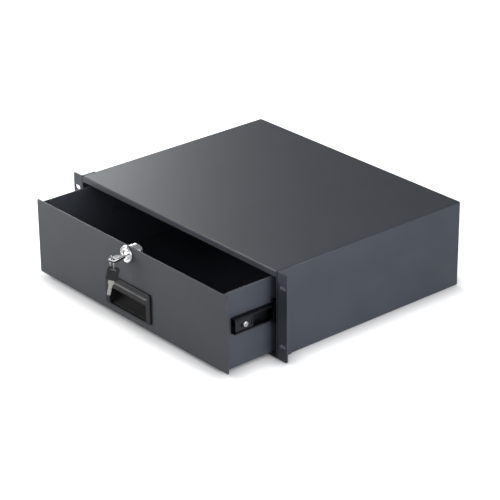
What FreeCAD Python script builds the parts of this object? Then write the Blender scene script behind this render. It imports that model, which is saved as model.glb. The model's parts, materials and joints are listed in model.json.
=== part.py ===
"""Three-unit 19-inch rack drawer on ball-bearing slides, with its lock and keys.

Millimetres. X runs across the rack, Y runs back from the rack's front face, Z is up.
Heights in this file are taken from the underside of the case. Each finished piece is then
lowered so that the origin is the centre of the four rack bolt slots.
The drawer stands part open, as it is stored.
"""
import FreeCAD, Part
import math
import os

os.makedirs("parts", exist_ok=True)
V = FreeCAD.Vector
X_AXIS = V(1, 0, 0)
Y_AXIS = V(0, 1, 0)
Z_AXIS = V(0, 0, 1)
SIDES = (("left", -1), ("right", 1))

# ---- rack interface ----
slot_span = 465.1           # left to right, slot centre to slot centre
slot_to_edge = 8.75         # slot centre to the ear's outer edge
slot_to_case = 11.9         # slot centre to the case's side
slot_rise = 88.9            # lower to upper slot centre
slot_length = 12.0
slot_height = 7.0
ear_thickness = 2.0
ear_flange_depth = 25.0
ear_bend_radius = 3.0
ear_corner_radius = 2.5

# ---- case ----
case_height = 132.0
case_depth = 352.0
sheet = 1.2                 # steel sheet of the case and the drawer box
sheet_bend = 1.8            # outside radius of a folded edge
lip_height = 8.7            # front lip, from the top face down
lip_side_gap = 0.5
return_depth = 14.0         # folded returns that carry the rear panel
return_gap = 2.0            # cut-out between neighbouring returns
bottom_flange = 12.0
bottom_flange_inset = 20.0
face_gap = 0.05             # between faces that are fastened flat together
rear_panel_gap = 0.3
rear_panel_corner = 3.0
side_screw_inset = 7.0      # outer columns of rear screws, from the case's inside
back_screw_inset = 39.5     # the other columns, from the case's inside

# ---- drawer ----
open_now = 84.6             # how far the drawer stands open as stored
front_side_gap = 3.35       # front panel's edge to the case's side, each side
front_top_gap = 11.5        # front panel's top below the case's top
front_bottom = 3.2
front_edge_radius = 0.4
front_thickness = 1.6
front_corner_radius = 2.0
slide_thickness = 12.7
box_bottom = 2.8
box_wall_drop = 1.1         # box walls' top below the front panel's top
box_rear_space = 30.4       # behind the shut box, to the case's rear face
hem_depth = 8.0
hem_gap = 0.15
front_return = 10.0         # width of the box's returns behind the front panel
back_wall_drop = 19.3       # back wall's top below the side walls' top
back_wall_flange = 14.0

# ---- slides ----
slide_drop = 63.0           # centreline of both slides below the case's top
slide_setback = 14.6        # front end of the fixed rail behind the rack's front face
slide_rear_space = 37.4     # from the rails' rear ends to the case's rear face
outer_rail_height = 45.0
outer_rail_wall = 1.5
middle_rail_wall = 1.4
middle_flange_wall = 1.8
inner_rail_web = 1.3
inner_flange_wall = 1.5
inner_lip = 2.8
middle_rail_lag = 28.2      # how far the middle rail's flanges start behind the fixed rail's
middle_rail_tail = 9.8      # how far they end before the fixed rail's rear end
middle_bulge = 5.2          # rounded nose of the middle rail's web
web_gap = 0.4               # running gap between neighbouring webs
wall_gap = 2.0              # flange edges to the drawer wall
ball_radius = 2.25
ball_gap = 0.05
race_depth = 0.4
ball_pitch = 12.0
outer_cage_length = 140.0
inner_cage_length = 128.0
outer_cage_start = 90.0     # behind the rack's front face with the drawer shut
inner_cage_start = 114.0
cage_wall = 0.9
cage_width = 5.8
cage_ball_gap = 0.1
outer_ball_offset = 6.5     # ball lines, out from the drawer wall
inner_ball_offset = 5.3
middle_share = 0.5          # travel of each slide member over the drawer's travel
outer_cage_share = 0.25
inner_cage_share = 0.75
bumper_length = 6.0
bumper_gap = 1.2
rivet_radius = 3.0
rivet_bite = 0.8            # how far a flush rivet sits in the case wall
rivet_count = 4
rivet_inset = 25.4          # outermost rivets from the fixed rail's ends

# ---- slide front plate and screws ----
front_plate_length = 32.0
front_plate_wall = 1.2
front_plate_drop = 1.6      # gap between the plate and the lower lip
front_plate_top_gap = 0.2
front_screw_back = 18.2     # screw behind the rail's front end
screw_radius = 2.0
screw_clearance = 0.2
pan_head_radius = 4.2
pan_head_height = 2.0
spacer_radius = 4.0
press_nut_radius = 3.2
rear_screw_inset = 50.0     # rearmost screw from the moving rail's rear end
rear_screw_pitch = 130.0
plate_slot_width = 2.4
plate_slot_length = 4.8
latch_slot_inset = 4.2      # from the plate's rear end
latch_slot_width = 1.1
latch_slot_height = 9.5
rail_bend = 1.2

# ---- handle ----
handle_width = 103.0
handle_bottom = 14.5
handle_height = 47.0
handle_proud = 3.0
handle_corner_radius = 4.0
handle_edge_radius = 0.7
pocket_width = 84.0
pocket_bottom = 17.0
pocket_top = 43.0
pocket_corner_radius = 3.0
pocket_depth = 16.0
pocket_arc_drop = 3.0       # where the curved back turns upright, below the mouth's top
pocket_roof = 52.0
pocket_wall = 1.8
pocket_fit = 0.4            # round the pocket shell in the panel's cut-out
scoop_band = 9.8            # the thumb scoop's height on the handle's face
scoop_depth = 1.3
scoop_height = 55.4         # its middle
scoop_width = 92.0
clip_wall = 0.8
clip_height = 16.0
clip_length = 11.0
clip_foot = 6.0
clip_lift = 6.0

# ---- lock ----
lock_drop = 12.8            # lock axis below the front panel's top
rose_radius = 12.4
rose_proud = 2.6
rose_edge_radius = 1.0
barrel_radius = 9.3
barrel_flat = 8.2           # axis to each flat of the barrel
barrel_length = 18.8
barrel_gap = 0.15
plug_radius = 5.5
plug_gap = 0.08
plug_recess = 0.4
nut_radius = 10.5           # round sleeve nut that clamps the lock
nut_end_step = 0.3          # from the nut's end to the barrel's end
nut_edge_radius = 2.2
nut_slot_width = 2.4        # spanner slots in the nut's end
nut_slot_depth = 1.6
cam_reach = 22.0
cam_width = 14.0
cam_corner_radius = 2.5
cam_thickness = 2.0
cam_gap = 0.2
tang_size = 7.0             # square end of the plug that turns the cam
cam_screw_radius = 2.5
cam_thread = 0.3            # depth of the cam screw's hole below the barrel's end
cam_screw_head_radius = 4.6
cam_screw_head_height = 1.6
cam_washer_radius = 5.2
cam_washer_thickness = 0.6
strike_width = 30.0
strike_gap = 1.2            # in front of the shut cam
strike_foot = 12.0

# ---- keys ----
blade_width = 5.6
blade_thickness = 2.0
blade_length = 17.4
blade_tip_radius = 2.0
notch_start = 4.0           # first notch from the shoulder
notch_pitch = 2.9
notch_width = 2.4
notch_depths = (0.7, 1.2, 0.5, 1.0, 0.8)
keyway_gap = 0.25
shoulder_width = 8.4
shoulder_length = 6.0
neck_depth = 3.0            # how far the blade goes into the bow
bow_width = 17.5
bow_length = 21.0
bow_thickness = 2.6
bow_corner_radius = 3.2
bow_edge_radius = 0.6
bow_droop = 8.5             # degrees, the bow's sag on its blade in the lock
key_turn_now = -7.5         # degrees about the lock's axis, as the key was left
bow_slot_width = 9.0
bow_slot_height = 4.0
bow_slot_back = 4.6         # slot centre from the bow's free end
ring_radius = 9.8           # to the wire's centre
ring_wire_radius = 0.8
ring_drop = 6.6             # ring centre below the bow's middle plane
ring_turn = -20.5           # degrees, about the vertical
ring_side = -6.6            # ring centre across the bow
ring_forward = 2.1          # ring centre behind the slot's middle
spare_turn = 45.0           # degrees, about the vertical
spare_lean = 11.5           # degrees, lean of the hanging key
spare_offset = 1.9          # from the wire to the hanging key's middle line
spare_rest_gap = 0.3

# ---- fasteners ----
recess_width = 0.8          # cross recess in a screw head
recess_reach = 2.0
recess_depth = 1.1
socket_radius = 1.7         # to the corners of a hexagon socket
socket_depth = 1.3
head_edge_radius = 1.1
back_screw_radius = 2.0
back_head_radius = 3.8
back_head_height = 2.3
back_nut_radius = 3.6
back_nut_height = 2.4
box_rivet_radius = 2.0
box_rivet_head = 3.6
box_rivet_head_height = 1.0
box_rivet_inset = 12.0      # from the back wall's top and bottom edges
stud_radius = 2.0
stud_length = 8.0
stud_inset = 15.0           # outer studs from the front return's ends
stud_nut_radius = 3.9
stud_nut_height = 3.2

# ---- worked out from the sizes above ----
slide_height = case_height - slide_drop
slide_length = case_depth - slide_setback - slide_rear_space
middle_rail_length = slide_length - middle_rail_lag - middle_rail_tail
half_case = slot_span / 2.0 - slot_to_case
half_ears = slot_span / 2.0 + slot_to_edge
half_inside = half_case - sheet
half_box = half_inside - slide_thickness
front_face = -open_now
front_back = front_face + front_thickness
front_top = case_height - front_top_gap
lock_height = front_top - lock_drop
nut_length = front_face + barrel_length - nut_end_step - front_back - face_gap
box_start = front_back + face_gap
box_end = case_depth - box_rear_space - open_now
box_wall_top = front_top - box_wall_drop
box_floor = box_bottom + sheet
back_wall_low = box_floor + face_gap
back_wall_top = box_wall_top - back_wall_drop
outer_web_in = slide_thickness - outer_rail_wall
middle_web_out = outer_web_in - web_gap
middle_web_in = middle_web_out - middle_rail_wall
inner_rail_out = middle_web_in - web_gap
outer_ball_rise = outer_rail_height / 2.0 - outer_rail_wall - ball_radius + race_depth
middle_half = outer_ball_rise - ball_radius + race_depth
inner_ball_rise = middle_half - middle_flange_wall - ball_radius + race_depth
inner_half = inner_ball_rise - ball_radius + race_depth
inner_start = slide_setback - open_now
middle_start = slide_setback + middle_rail_lag - open_now * middle_share
front_screw_y = inner_start + front_screw_back
rear_screw_y = inner_start + slide_length - rear_screw_inset
rivet_pitch = (slide_length - 2.0 * rivet_inset) / (rivet_count - 1)
rivet_stations = [slide_setback + rivet_inset + i * rivet_pitch for i in range(rivet_count)]
rear_inside = case_depth - sheet


def box(x0, x1, y0, y1, z0, z1):
    """A block between two opposite corners, given in any order."""
    corner = V(min(x0, x1), min(y0, y1), min(z0, z1))
    return Part.makeBox(abs(x1 - x0), abs(y1 - y0), abs(z1 - z0), corner)


def rod(radius, start, direction, length):
    """A round bar from a point along a direction."""
    return Part.makeCylinder(radius, length, start, direction)


def prism(points, direction):
    """A solid swept straight from a flat outline of corner points."""
    wire = Part.makePolygon(points + [points[0]])
    return Part.Face(wire).extrude(direction)


def fuse(pieces):
    """One solid from several that touch or cross."""
    if len(pieces) == 1:
        return pieces[0]
    return pieces[0].multiFuse(pieces[1:]).removeSplitter()


def group(pieces):
    """Separate solids kept together as one named piece."""
    return Part.makeCompound(pieces)


def edges_where(shape, test):
    """The straight or round edges whose centre passes a test."""
    return [edge for edge in shape.Edges if test(edge, edge.CenterOfMass)]


def runs_along(edge, axis):
    """True for a straight edge parallel to an axis."""
    if not isinstance(edge.Curve, Part.Line):
        return False
    return abs(abs(edge.Curve.Direction.dot(axis)) - 1.0) < 1e-6


def stadium(length, height, centre, depth):
    """A slot cutter: a bar along X with round ends, swept along +Y."""
    half = (length - height) / 2.0
    radius = height / 2.0
    ends = [rod(radius, centre + V(side * half, 0, 0), Y_AXIS, depth) for side in (-1, 1)]
    bar = box(centre.x - half, centre.x + half, centre.y, centre.y + depth,
              centre.z - radius, centre.z + radius)
    return fuse(ends + [bar])


def flip(shape, side):
    """The right-hand piece itself, or its mirror image for the left."""
    return shape if side > 0 else shape.mirror(V(0, 0, 0), X_AXIS)


def save(name, shape):
    """Lower a piece to the rack's bolt centre and write it out."""
    if not shape.isValid():
        raise ValueError(name + " isn't a valid solid")
    placed = shape.copy()
    placed.translate(V(0, 0, -case_height / 2.0))
    placed.exportStep("parts/" + name + ".step")
    print(name, len(placed.Solids), round(placed.Volume, 1))


# ---------------------------------------------------------------- case

def back_fixings():
    """Where the rear panel is screwed on, as points on its outer face."""
    top = case_height - return_depth / 2.0
    low = bottom_flange / 2.0 + sheet / 2.0
    column = half_inside - back_screw_inset
    edge = half_inside - side_screw_inset
    rows = [(x, z) for z in (low, top) for x in (-column, 0.0, column)]
    sides = [(side * edge, case_height / 2.0) for side in (-1, 1)]
    return [V(x, case_depth, z) for x, z in rows + sides]


def drill(shape, points, radius, direction, length):
    """Cut the same round hole at each point."""
    for point in points:
        shape = shape.cut(rod(radius, point, direction, length))
    return shape


def fold_corner(half, y, inward):
    """Cutter that rounds the case's top edge where the sheet folds down at y."""
    y1 = y + inward * sheet_bend
    block = box(-half, half, y - inward, y1, case_height - sheet_bend, case_height + 1)
    bend = rod(sheet_bend, V(-half - 1, y1, case_height - sheet_bend), X_AXIS, 2 * half + 2)
    return block.cut(bend)


def case_cover():
    """Top and both sides folded from one sheet, with a front lip and rear returns."""
    outer = box(-half_case, half_case, 0, case_depth, 0, case_height)
    inner = box(-half_inside, half_inside, -1, case_depth + 1, -1, case_height - sheet)
    folds = edges_where(outer, lambda e, c: runs_along(e, Y_AXIS) and c.z > case_height - 1)
    outer = outer.makeFillet(sheet_bend, folds)
    inner_folds = edges_where(inner, lambda e, c: runs_along(e, Y_AXIS) and c.z > 0)
    inner = inner.makeFillet(sheet_bend - sheet, inner_folds)
    shell = outer.cut(inner)
    lip_end = half_inside - lip_side_gap
    lip = box(-lip_end, lip_end, 0, sheet, case_height - lip_height, case_height - sheet / 2.0)
    near = rear_inside - sheet
    low = case_height - return_depth
    top_return = box(-lip_end, lip_end, near, rear_inside, low, case_height - sheet / 2.0)
    side_top = low - return_gap
    side_low = bottom_flange + return_gap
    inward = half_inside - return_depth
    sides = [box(s * inward, s * (half_case - sheet / 2.0), near, rear_inside, side_low, side_top)
             for s in (-1, 1)]
    cover = fuse([shell, lip, top_return] + sides)
    cover = cover.cut(fold_corner(lip_end, 0, 1))
    holes = [p for p in back_fixings() if p.z > bottom_flange]
    cover = drill(cover, holes, back_screw_radius + screw_clearance, -Y_AXIS, 2 * sheet + 1)
    for _, side in SIDES:
        start = V(side * half_inside, 0, slide_height)
        seats = [start + V(0, y, 0) for y in rivet_stations]
        cover = drill(cover, seats, rivet_radius + face_gap, X_AXIS * side, rivet_bite + face_gap)
    return cover


def case_bottom():
    """Floor plate with upturned flanges welded inside the sides."""
    half = half_inside - face_gap
    plate = box(-half, half, 0, rear_inside, 0, sheet)
    flange_end = case_depth - bottom_flange_inset
    flanges = [box(s * half, s * (half - sheet), bottom_flange_inset, flange_end, 0, bottom_flange)
               for s in (-1, 1)]
    rear = box(-half + return_depth, half - return_depth, rear_inside - sheet, rear_inside,
               0, bottom_flange)
    floor = fuse([plate, rear] + flanges)
    holes = [p for p in back_fixings() if p.z < bottom_flange]
    return drill(floor, holes, back_screw_radius + screw_clearance, -Y_AXIS, 2 * sheet + 1)


def case_back():
    """Flat rear panel let in between the case's walls."""
    half = half_inside - rear_panel_gap
    panel = box(-half, half, rear_inside + face_gap, case_depth, sheet + rear_panel_gap,
                case_height - sheet - rear_panel_gap)
    corners = edges_where(panel, lambda e, c: runs_along(e, Y_AXIS))
    panel = panel.makeFillet(rear_panel_corner, corners)
    return drill(panel, back_fixings(), back_screw_radius + screw_clearance, -Y_AXIS, 2 * sheet)


def back_screws():
    """Pan-head screws through the rear panel, each with a cross recess."""
    screws = []
    for point in back_fixings():
        shank = rod(back_screw_radius, point, -Y_AXIS, 2 * sheet + back_nut_height + 1.0)
        head = rod(back_head_radius, point, Y_AXIS, back_head_height)
        rim = edges_where(head, lambda e, c: c.y > point.y + back_head_height - 0.01
                          and not runs_along(e, Y_AXIS))
        head = head.makeFillet(head_edge_radius, rim[:1])
        screws.append(cross_recess(fuse([shank, head]), point + Y_AXIS * back_head_height))
    return group(screws)


def cross_recess(screw, face_point):
    """Cut a cross recess in a rear screw's head, inward from a point on its face."""
    deep = recess_depth / 2.0
    thin = recess_width / 2.0
    mid = face_point - Y_AXIS * deep
    for dx, dz in ((recess_reach, thin), (thin, recess_reach)):
        screw = screw.cut(box(mid.x - dx, mid.x + dx, mid.y - deep, mid.y + deep, mid.z - dz, mid.z + dz))
    return screw


def back_nuts():
    """Press nuts set in the returns, one to each rear screw."""
    nuts = []
    for point in back_fixings():
        start = point - Y_AXIS * (2 * sheet + face_gap)
        nut = rod(back_nut_radius, start, -Y_AXIS, back_nut_height)
        bore = rod(back_screw_radius + face_gap, start + Y_AXIS, -Y_AXIS, back_nut_height + 2)
        nuts.append(nut.cut(bore))
    return group(nuts)


def rack_ear(side):
    """An L-bracket: the slotted front plate and the flange on the case's side."""
    inner = half_case + face_gap
    outer = half_ears
    front = box(inner, outer, 0, ear_thickness, 0, case_height)
    flange = box(inner, inner + ear_thickness, 0, ear_flange_depth, 0, case_height)
    ear = fuse([front, flange])
    bend = edges_where(ear, lambda e, c: runs_along(e, Z_AXIS) and abs(c.y) < 1e-6
                       and abs(c.x - inner) < 1e-6)
    ear = ear.makeFillet(ear_bend_radius, bend)
    throat = edges_where(ear, lambda e, c: runs_along(e, Z_AXIS)
                         and abs(c.y - ear_thickness) < 1e-6
                         and abs(c.x - inner - ear_thickness) < 1e-6)
    ear = ear.makeFillet(ear_bend_radius - ear_thickness, throat)
    tips = edges_where(ear, lambda e, c: runs_along(e, Y_AXIS) and abs(c.x - outer) < 1e-6)
    ear = ear.makeFillet(ear_corner_radius, tips)
    for rise in (-slot_rise / 2.0, slot_rise / 2.0):
        centre = V(slot_span / 2.0, -1, case_height / 2.0 + rise)
        ear = ear.cut(stadium(slot_length, slot_height, centre, ear_thickness + 2))
    return flip(ear, side)


def lock_strike():
    """An L-bracket under the top sheet that the lock's cam catches."""
    front_of_cam = barrel_length + cam_gap
    back = front_of_cam - strike_gap
    top = case_height - sheet - face_gap
    low = case_height - lip_height
    leg = box(-strike_width / 2.0, strike_width / 2.0, back - sheet, back, low, top)
    foot = box(-strike_width / 2.0, strike_width / 2.0, back - strike_foot, back, top - sheet, top)
    strike = fuse([leg, foot])
    fold = edges_where(strike, lambda e, c: runs_along(e, X_AXIS) and abs(c.y - back) < 1e-6
                       and abs(c.z - top) < 1e-6)
    return strike.makeFillet(sheet_bend, fold)


# ---------------------------------------------------------------- slides

def rail_box(y0, y1, out0, out1, rise0, rise1):
    """A block of a right-hand slide: outward from the drawer wall, up from its centreline."""
    return box(half_box + out0, half_box + out1, y0, y1, slide_height + rise0, slide_height + rise1)


def race(y0, y1, out, rise):
    """The groove cutter that a line of balls runs in."""
    start = V(half_box + out, y0 - 1, slide_height + rise)
    return rod(ball_radius + ball_gap, start, Y_AXIS, y1 - y0 + 2)


def outer_rail():
    """Fixed rail: a channel on the case wall with a ball race in each flange."""
    y0 = slide_setback
    y1 = slide_setback + slide_length + bumper_gap + bumper_length
    half = outer_rail_height / 2.0
    rail = rail_box(y0, y1, outer_web_in, slide_thickness - face_gap, -half, half)
    for end in (-1, 1):
        flange = rail_box(y0, y1, wall_gap, slide_thickness - face_gap,
                          end * half, end * (half - outer_rail_wall))
        rail = fuse([rail, flange])
        rail = rail.cut(race(y0, y1, outer_ball_offset, end * outer_ball_rise))
    corners = edges_where(rail, lambda e, c: runs_along(e, Y_AXIS)
                          and c.x > half_box + slide_thickness - 0.2)
    rail = rail.makeFillet(rail_bend, corners)
    seats = [V(half_box + outer_web_in - 1, y, slide_height) for y in rivet_stations]
    return drill(rail, seats, rivet_radius + face_gap, X_AXIS, outer_rail_wall + 2)


def middle_rail():
    """Middle rail: a channel with races inside and out and a rounded nose to its web."""
    y0 = middle_start
    y1 = middle_start + middle_rail_length
    rail = rail_box(y0, y1, middle_web_in, middle_web_out, -middle_half, middle_half)
    radius = (middle_half ** 2 + middle_bulge ** 2) / (2.0 * middle_bulge)
    disc = rod(radius, V(half_box + middle_web_in, y0 + radius - middle_bulge, slide_height),
               X_AXIS, middle_rail_wall)
    nose = rail_box(y0 - middle_bulge - 1, y0 + 1, middle_web_in, middle_web_out,
                    -middle_half, middle_half).common(disc)
    rail = fuse([rail, nose])
    for end in (-1, 1):
        flange = rail_box(y0, y1, wall_gap - 0.2, middle_web_out,
                          end * middle_half, end * (middle_half - middle_flange_wall))
        rail = fuse([rail, flange])
        rail = rail.cut(race(y0, y1, outer_ball_offset, end * outer_ball_rise))
        rail = rail.cut(race(y0, y1, inner_ball_offset, end * inner_ball_rise))
    corners = edges_where(rail, lambda e, c: runs_along(e, Y_AXIS)
                          and c.x > half_box + middle_web_out - 0.01
                          and abs(c.z - slide_height) > middle_half - 0.01)
    return rail.makeFillet(rail_bend, corners)


def inner_rail():
    """Moving rail: a lipped channel screwed to the drawer wall."""
    y0 = inner_start
    y1 = inner_start + slide_length
    rail = rail_box(y0, y1, face_gap, inner_rail_web, -inner_half, inner_half)
    for end in (-1, 1):
        flange = rail_box(y0, y1, face_gap, inner_rail_out,
                          end * inner_half, end * (inner_half - inner_flange_wall))
        lip = rail_box(y0, y1, inner_rail_out - front_plate_wall, inner_rail_out,
                       end * inner_half, end * (inner_half - inner_lip))
        rail = fuse([rail, flange, lip])
        rail = rail.cut(race(y0, y1, inner_ball_offset, end * inner_ball_rise))
    corners = edges_where(rail, lambda e, c: runs_along(e, Y_AXIS)
                          and abs(abs(c.z - slide_height) - inner_half) < 0.01
                          and (c.x < half_box + 0.1 or c.x > half_box + inner_rail_out - 0.1))
    rail = rail.makeFillet(rail_bend - 0.2, corners)
    seats = [V(half_box - 1, y, slide_height) for y in screw_stations()]
    return drill(rail, seats, press_nut_radius + face_gap, X_AXIS, inner_rail_web + 2)


def screw_stations():
    """Y of each screw that holds the moving rail to the drawer wall."""
    return [front_screw_y, rear_screw_y - rear_screw_pitch, rear_screw_y]


def front_plate():
    """The plate that closes the moving rail's front, with one leg bent in behind it."""
    y0 = inner_start + 0.6
    y1 = y0 + front_plate_length
    inside = inner_half - inner_lip
    low = -inside + front_plate_drop
    high = inside - front_plate_top_gap
    face = rail_box(y0, y1, inner_rail_out - front_plate_wall, inner_rail_out, low, high)
    leg = rail_box(y1 - front_plate_wall, y1, inner_rail_web + face_gap, inner_rail_out, low, high)
    plate = fuse([face, leg])
    bend = edges_where(plate, lambda e, c: runs_along(e, Z_AXIS) and abs(c.y - y1) < 1e-6
                       and c.x > half_box + inner_rail_out - 0.01)
    plate = plate.makeFillet(rail_bend - 0.2, bend)
    reach = inner_rail_out + 2
    hole = V(half_box + 3, front_screw_y, slide_height)
    plate = plate.cut(rod(screw_radius + screw_clearance, hole, X_AXIS, reach))
    half_slot = plate_slot_width / 2.0
    slot_y = front_screw_y - pan_head_radius - plate_slot_width
    rise = plate_slot_length / 2.0 - half_slot
    for end in (-1, 1):
        start = V(half_box + 3, slot_y, slide_height + end * rise)
        plate = plate.cut(rod(half_slot, start, X_AXIS, reach))
    plate = plate.cut(rail_box(slot_y - half_slot, slot_y + half_slot, 3, reach, -rise, rise))
    tail_y = y1 - latch_slot_inset
    half = latch_slot_height / 2.0
    tail_end = tail_y + latch_slot_width
    plate = plate.cut(rail_box(tail_y, tail_end, 3, reach, -half, half))
    foot = rail_box(tail_y - latch_slot_width, tail_end, 3, reach, -half,
                    latch_slot_width - half)
    return plate.cut(foot)


def slide_screws():
    """One long screw through the front plate and two short ones in the channel."""
    screws = []
    for index, y in enumerate(screw_stations()):
        seat = inner_rail_out if index == 0 else inner_rail_web
        under_head = V(half_box + seat + face_gap, y, slide_height)
        head = rod(pan_head_radius, under_head, X_AXIS, pan_head_height)
        rim = edges_where(head, lambda e, c: not isinstance(e.Curve, Part.Line)
                          and c.x > under_head.x + pan_head_height - 0.01)
        head = head.makeFillet(head_edge_radius, rim[:1])
        shank = rod(screw_radius, under_head, -X_AXIS, seat + sheet)
        screw = fuse([head, shank])
        screws.append(screw.cut(hexagon_socket(under_head + X_AXIS * pan_head_height)))
    return group(screws)


def hexagon_socket(face_point):
    """Cutter for a hexagon socket that opens towards +X at a point on a screw's face."""
    start = face_point - X_AXIS * socket_depth
    angles = [math.radians(a) for a in range(0, 360, 60)]
    corners = [start + V(0, socket_radius * math.cos(a), socket_radius * math.sin(a))
               for a in angles]
    return prism(corners, X_AXIS * (socket_depth + 1))


def slide_nuts():
    """Press nuts, flush with the drawer wall's inner face."""
    nuts = []
    for y in screw_stations():
        start = V(half_box - sheet, y, slide_height)
        nut = rod(press_nut_radius, start, X_AXIS, sheet + inner_rail_web)
        bore = rod(screw_radius + face_gap, start - X_AXIS, X_AXIS, sheet + inner_rail_web + 2)
        nuts.append(nut.cut(bore))
    return group(nuts)


def slide_spacer():
    """Tube that holds the front plate off the channel's web at its screw."""
    start = V(half_box + inner_rail_web + face_gap, front_screw_y, slide_height)
    length = inner_rail_out - front_plate_wall - inner_rail_web - 2 * face_gap
    tube = rod(spacer_radius, start, X_AXIS, length)
    return tube.cut(rod(screw_radius + screw_clearance, start - X_AXIS, X_AXIS, length + 2))


def ball_stations(start, length):
    """Y of each ball in a cage strip, evenly pitched and centred in the strip."""
    count = int((length - ball_pitch) / ball_pitch) + 1
    margin = (length - (count - 1) * ball_pitch) / 2.0
    return [start + margin + index * ball_pitch for index in range(count)]


def ball_cage(start, length, out, rise):
    """Upper and lower strips with a round pocket for each ball."""
    strips = []
    for end in (-1, 1):
        strip = rail_box(start, start + length, out - cage_width / 2.0, out + cage_width / 2.0,
                         end * rise - cage_wall / 2.0, end * rise + cage_wall / 2.0)
        pockets = [V(half_box + out, y, slide_height + end * rise - cage_wall)
                   for y in ball_stations(start, length)]
        strips.append(drill(strip, pockets, ball_radius + cage_ball_gap, Z_AXIS, 2 * cage_wall))
    return group(strips)


def balls(start, length, out, rise):
    """The balls of one cage, above and below."""
    return group([Part.makeSphere(ball_radius, V(half_box + out, y, slide_height + end * rise))
                  for end in (-1, 1) for y in ball_stations(start, length)])


def rail_rivets():
    """Flush rivets from the fixed rail's web into the case wall."""
    length = outer_rail_wall + rivet_bite
    return group([rod(rivet_radius, V(half_box + outer_web_in, y, slide_height), X_AXIS, length)
                  for y in rivet_stations])


def rear_bumper():
    """Plastic block at the back of the fixed rail that the other rails shut against."""
    y0 = slide_setback + slide_length + bumper_gap
    half = outer_rail_height / 2.0 - outer_rail_wall - 0.3
    block = rail_box(y0, y0 + bumper_length, wall_gap + 1.0, outer_web_in - face_gap, -half, half)
    upright = edges_where(block, lambda e, c: runs_along(e, X_AXIS) and c.y < y0 + 0.1)
    return block.makeFillet(1.5, upright)


# ---------------------------------------------------------------- drawer

def stud_points():
    """Weld studs on the front panel's back, for the box's returns."""
    across = half_box - sheet - front_return / 2.0 - 0.5
    low = box_bottom + front_return + stud_inset
    high = box_wall_top - hem_depth - stud_inset
    return [V(side * across, front_back, z) for side in (-1, 1)
            for z in (low, (low + high) / 2.0, high)]


def drawer_front():
    """Flat front panel with the handle and lock cut-outs and weld studs behind."""
    half = half_case - front_side_gap
    panel = box(-half, half, front_face, front_back, front_bottom, front_top)
    corners = edges_where(panel, lambda e, c: runs_along(e, Y_AXIS))
    panel = panel.makeFillet(front_corner_radius, corners)
    face = [face for face in panel.Faces if abs(face.CenterOfMass.y - front_face) < 1e-6][0]
    panel = panel.makeFillet(front_edge_radius, face.Edges)
    half_hole = pocket_width / 2.0 + pocket_wall + pocket_fit
    hole = box(-half_hole, half_hole, front_face - 1, front_back + 1,
               shell_low() - pocket_fit, pocket_roof + pocket_wall + pocket_fit)
    panel = panel.cut(hole)
    centre = V(0, front_face - 1, lock_height)
    panel = panel.cut(barrel_blank(centre, barrel_gap, front_thickness + 2))
    studs = [rod(stud_radius, point - Y_AXIS * 0.2, Y_AXIS, stud_length) for point in stud_points()]
    return fuse([panel] + studs)


def barrel_blank(start, extra, length):
    """The lock barrel's round body with two flats, larger all round by a margin."""
    radius = barrel_radius + extra
    flat = barrel_flat + extra
    body = rod(radius, start, Y_AXIS, length)
    return body.common(box(-radius - 1, radius + 1, start.y, start.y + length,
                           start.z - flat, start.z + flat))


def drawer_tray():
    """Floor and sides of the drawer box, hemmed along the top, with front returns."""
    inside = half_box - sheet
    tray = [box(-half_box, half_box, box_start, box_end, box_bottom, box_bottom + sheet)]
    hem_out = 2 * sheet + hem_gap
    for _, side in SIDES:
        wall = box(side * half_box, side * inside, box_start, box_end, box_bottom, box_wall_top)
        fold = box(side * half_box, side * (half_box - hem_out), box_start + front_return, box_end,
                   box_wall_top - sheet, box_wall_top)
        hem = box(side * (inside - hem_gap), side * (half_box - hem_out), box_start + front_return,
                  box_end, box_wall_top - hem_depth, box_wall_top)
        tab = box(side * inside, side * (inside - front_return), box_start, box_start + sheet,
                  box_bottom + front_return, box_wall_top - hem_depth)
        tray += [wall, fold, hem, tab]
    low_tab = half_box - 2.0 * front_return
    tray.append(box(-low_tab, low_tab, box_start, box_start + sheet, box_bottom,
                    box_bottom + front_return))
    tray = fuse(tray)
    folds = edges_where(tray, lambda e, c: runs_along(e, Y_AXIS) and abs(c.z - box_bottom) < 1e-6
                        and abs(abs(c.x) - half_box) < 1e-6)
    tray = tray.makeFillet(sheet_bend, folds)
    rims = edges_where(tray, lambda e, c: runs_along(e, Y_AXIS)
                       and abs(c.z - box_wall_top) < 1e-6
                       and (abs(abs(c.x) - half_box) < 1e-6
                            or abs(abs(c.x) - half_box + hem_out) < 1e-6)
                       and c.y > box_start + front_return)
    tray = tray.makeFillet(1.1, rims)
    tray = drill(tray, [p - Y_AXIS for p in stud_points()], stud_radius + screw_clearance,
                 Y_AXIS, sheet + 3)
    for _, side in SIDES:
        seats = [V(side * (inside - 1), y, slide_height) for y in screw_stations()]
        tray = drill(tray, seats, press_nut_radius + face_gap, X_AXIS * side, sheet + 2)
    return drill_rivets(tray)


def rivet_points():
    """Rivets through the box's side walls into the back wall's flanges."""
    return [V(side * half_box, box_end - back_wall_flange / 2.0, z)
            for side in (-1, 1)
            for z in (back_wall_low + box_rivet_inset, back_wall_top - box_rivet_inset)]


def drill_rivets(shape):
    """Holes for the back wall's rivets."""
    for point in rivet_points():
        side = 1 if point.x > 0 else -1
        start = point + X_AXIS * side
        shape = shape.cut(rod(box_rivet_radius + face_gap, start, X_AXIS * -side, 2 * sheet + 3))
    return shape


def drawer_back():
    """Back wall with a flange folded forward at each end."""
    inside = half_box - sheet - face_gap
    wall = box(-inside, inside, box_end - sheet, box_end, back_wall_low, back_wall_top)
    flanges = [box(s * inside, s * (inside - sheet), box_end - back_wall_flange, box_end,
                   back_wall_low, back_wall_top) for s in (-1, 1)]
    back = fuse([wall] + flanges)
    folds = edges_where(back, lambda e, c: runs_along(e, Z_AXIS) and abs(c.y - box_end) < 1e-6)
    return drill_rivets(back.makeFillet(sheet_bend - 0.8, folds))


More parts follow.
